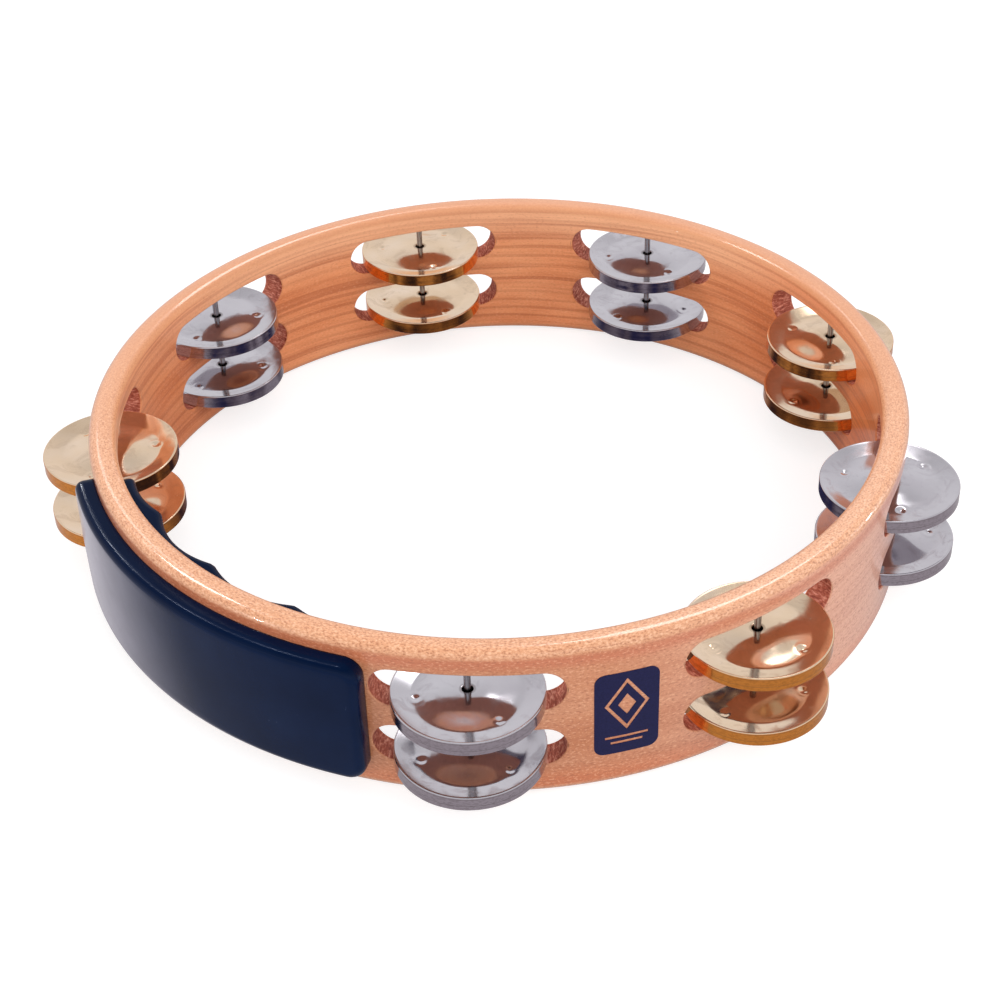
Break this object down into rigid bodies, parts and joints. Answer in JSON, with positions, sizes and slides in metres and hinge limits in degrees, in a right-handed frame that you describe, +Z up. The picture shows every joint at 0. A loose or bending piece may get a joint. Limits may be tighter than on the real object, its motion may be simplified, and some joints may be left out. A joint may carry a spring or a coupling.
{
  "type": "hand tambourine",
  "caption": "Headless round wooden tambourine hoop with two rows of loose paired metal jingles on pins and a moulded two-part hand grip.",
  "frame": {"origin": "on the hoop's axis, in the plane of its bottom edge", "axes": "+Z up along the hoop's axis, -Y through the middle of the hand grip, +X to the right of the grip seen from outside it"},
  "size_m": [0.2854, 0.27, 0.0516],
  "materials": {
    "hoop_wood": "clear gloss lacquer over maple",
    "grip_navy": "smooth satin moulding",
    "label_print": "printed ink under lacquer",
    "pin_steel": "bright drawn wire",
    "jingle_nickel": "polished nickel plate",
    "jingle_brass": "polished"
  },
  "bodies": {
    "hoop_body": {"hoop": "hoop_wood", "outer_grip_pad": "grip_navy", "inner_grip_pad": "grip_navy", "label": "label_print", "pin_1": "pin_steel", "pin_2": "pin_steel", "pin_3": "pin_steel", "pin_4": "pin_steel", "pin_5": "pin_steel", "pin_6": "pin_steel", "pin_7": "pin_steel", "pin_8": "pin_steel"},
    "jingle_1_low_under": {"jingle_1_low_under": "jingle_nickel"},
    "jingle_1_low_over": {"jingle_1_low_over": "jingle_nickel"},
    "jingle_1_high_under": {"jingle_1_high_under": "jingle_nickel"},
    "jingle_1_high_over": {"jingle_1_high_over": "jingle_nickel"},
    "jingle_2_low_under": {"jingle_2_low_under": "jingle_brass"},
    "jingle_2_low_over": {"jingle_2_low_over": "jingle_brass"},
    "jingle_2_high_under": {"jingle_2_high_under": "jingle_brass"},
    "jingle_2_high_over": {"jingle_2_high_over": "jingle_brass"},
    "jingle_3_low_under": {"jingle_3_low_under": "jingle_nickel"},
    "jingle_3_low_over": {"jingle_3_low_over": "jingle_nickel"},
    "jingle_3_high_under": {"jingle_3_high_under": "jingle_nickel"},
    "jingle_3_high_over": {"jingle_3_high_over": "jingle_nickel"},
    "jingle_4_low_under": {"jingle_4_low_under": "jingle_brass"},
    "jingle_4_low_over": {"jingle_4_low_over": "jingle_brass"},
    "jingle_4_high_under": {"jingle_4_high_under": "jingle_brass"},
    "jingle_4_high_over": {"jingle_4_high_over": "jingle_brass"},
    "jingle_5_low_under": {"jingle_5_low_under": "jingle_nickel"},
    "jingle_5_low_over": {"jingle_5_low_over": "jingle_nickel"},
    "jingle_5_high_under": {"jingle_5_high_under": "jingle_nickel"},
    "jingle_5_high_over": {"jingle_5_high_over": "jingle_nickel"},
    "jingle_6_low_under": {"jingle_6_low_under": "jingle_brass"},
    "jingle_6_low_over": {"jingle_6_low_over": "jingle_brass"},
    "jingle_6_high_under": {"jingle_6_high_under": "jingle_brass"},
    "jingle_6_high_over": {"jingle_6_high_over": "jingle_brass"},
    "jingle_7_low_under": {"jingle_7_low_under": "jingle_nickel"},
    "jingle_7_low_over": {"jingle_7_low_over": "jingle_nickel"},
    "jingle_7_high_under": {"jingle_7_high_under": "jingle_nickel"},
    "jingle_7_high_over": {"jingle_7_high_over": "jingle_nickel"},
    "jingle_8_low_under": {"jingle_8_low_under": "jingle_brass"},
    "jingle_8_low_over": {"jingle_8_low_over": "jingle_brass"},
    "jingle_8_high_under": {"jingle_8_high_under": "jingle_brass"},
    "jingle_8_high_over": {"jingle_8_high_over": "jingle_brass"}
  },
  "joints": [
    {"name": "rattle_1_low_under", "type": "slide", "parent": "hoop_body", "child": "jingle_1_low_under", "axis": [0, 0, 1], "range_m": [0, 0.0039]},
    {"name": "rattle_1_low_over", "type": "slide", "parent": "jingle_1_low_under", "child": "jingle_1_low_over", "axis": [0, 0, 1], "range_m": [0, 0.0039]},
    {"name": "rattle_1_high_under", "type": "slide", "parent": "hoop_body", "child": "jingle_1_high_under", "axis": [0, 0, 1], "range_m": [0, 0.0039]},
    {"name": "rattle_1_high_over", "type": "slide", "parent": "jingle_1_high_under", "child": "jingle_1_high_over", "axis": [0, 0, 1], "range_m": [0, 0.0039]},
    {"name": "rattle_2_low_under", "type": "slide", "parent": "hoop_body", "child": "jingle_2_low_under", "axis": [0, 0, 1], "range_m": [0, 0.0039]},
    {"name": "rattle_2_low_over", "type": "slide", "parent": "jingle_2_low_under", "child": "jingle_2_low_over", "axis": [0, 0, 1], "range_m": [0, 0.0039]},
    {"name": "rattle_2_high_under", "type": "slide", "parent": "hoop_body", "child": "jingle_2_high_under", "axis": [0, 0, 1], "range_m": [0, 0.0039]},
    {"name": "rattle_2_high_over", "type": "slide", "parent": "jingle_2_high_under", "child": "jingle_2_high_over", "axis": [0, 0, 1], "range_m": [0, 0.0039]},
    {"name": "rattle_3_low_under", "type": "slide", "parent": "hoop_body", "child": "jingle_3_low_under", "axis": [0, 0, 1], "range_m": [0, 0.0039]},
    {"name": "rattle_3_low_over", "type": "slide", "parent": "jingle_3_low_under", "child": "jingle_3_low_over", "axis": [0, 0, 1], "range_m": [0, 0.0039]},
    {"name": "rattle_3_high_under", "type": "slide", "parent": "hoop_body", "child": "jingle_3_high_under", "axis": [0, 0, 1], "range_m": [0, 0.0039]},
    {"name": "rattle_3_high_over", "type": "slide", "parent": "jingle_3_high_under", "child": "jingle_3_high_over", "axis": [0, 0, 1], "range_m": [0, 0.0039]},
    {"name": "rattle_4_low_under", "type": "slide", "parent": "hoop_body", "child": "jingle_4_low_under", "axis": [0, 0, 1], "range_m": [0, 0.0039]},
    {"name": "rattle_4_low_over", "type": "slide", "parent": "jingle_4_low_under", "child": "jingle_4_low_over", "axis": [0, 0, 1], "range_m": [0, 0.0039]},
    {"name": "rattle_4_high_under", "type": "slide", "parent": "hoop_body", "child": "jingle_4_high_under", "axis": [0, 0, 1], "range_m": [0, 0.0039]},
    {"name": "rattle_4_high_over", "type": "slide", "parent": "jingle_4_high_under", "child": "jingle_4_high_over", "axis": [0, 0, 1], "range_m": [0, 0.0039]},
    {"name": "rattle_5_low_under", "type": "slide", "parent": "hoop_body", "child": "jingle_5_low_under", "axis": [0, 0, 1], "range_m": [0, 0.0039]},
    {"name": "rattle_5_low_over", "type": "slide", "parent": "jingle_5_low_under", "child": "jingle_5_low_over", "axis": [0, 0, 1], "range_m": [0, 0.0039]},
    {"name": "rattle_5_high_under", "type": "slide", "parent": "hoop_body", "child": "jingle_5_high_under", "axis": [0, 0, 1], "range_m": [0, 0.0039]},
    {"name": "rattle_5_high_over", "type": "slide", "parent": "jingle_5_high_under", "child": "jingle_5_high_over", "axis": [0, 0, 1], "range_m": [0, 0.0039]},
    {"name": "rattle_6_low_under", "type": "slide", "parent": "hoop_body", "child": "jingle_6_low_under", "axis": [0, 0, 1], "range_m": [0, 0.0039]},
    {"name": "rattle_6_low_over", "type": "slide", "parent": "jingle_6_low_under", "child": "jingle_6_low_over", "axis": [0, 0, 1], "range_m": [0, 0.0039]},
    {"name": "rattle_6_high_under", "type": "slide", "parent": "hoop_body", "child": "jingle_6_high_under", "axis": [0, 0, 1], "range_m": [0, 0.0039]},
    {"name": "rattle_6_high_over", "type": "slide", "parent": "jingle_6_high_under", "child": "jingle_6_high_over", "axis": [0, 0, 1], "range_m": [0, 0.0039]},
    {"name": "rattle_7_low_under", "type": "slide", "parent": "hoop_body", "child": "jingle_7_low_under", "axis": [0, 0, 1], "range_m": [0, 0.0039]},
    {"name": "rattle_7_low_over", "type": "slide", "parent": "jingle_7_low_under", "child": "jingle_7_low_over", "axis": [0, 0, 1], "range_m": [0, 0.0039]},
    {"name": "rattle_7_high_under", "type": "slide", "parent": "hoop_body", "child": "jingle_7_high_under", "axis": [0, 0, 1], "range_m": [0, 0.0039]},
    {"name": "rattle_7_high_over", "type": "slide", "parent": "jingle_7_high_under", "child": "jingle_7_high_over", "axis": [0, 0, 1], "range_m": [0, 0.0039]},
    {"name": "rattle_8_low_under", "type": "slide", "parent": "hoop_body", "child": "jingle_8_low_under", "axis": [0, 0, 1], "range_m": [0, 0.0039]},
    {"name": "rattle_8_low_over", "type": "slide", "parent": "jingle_8_low_under", "child": "jingle_8_low_over", "axis": [0, 0, 1], "range_m": [0, 0.0039]},
    {"name": "rattle_8_high_under", "type": "slide", "parent": "hoop_body", "child": "jingle_8_high_under", "axis": [0, 0, 1], "range_m": [0, 0.0039]},
    {"name": "rattle_8_high_over", "type": "slide", "parent": "jingle_8_high_under", "child": "jingle_8_high_over", "axis": [0, 0, 1], "range_m": [0, 0.0039]}
  ]
}
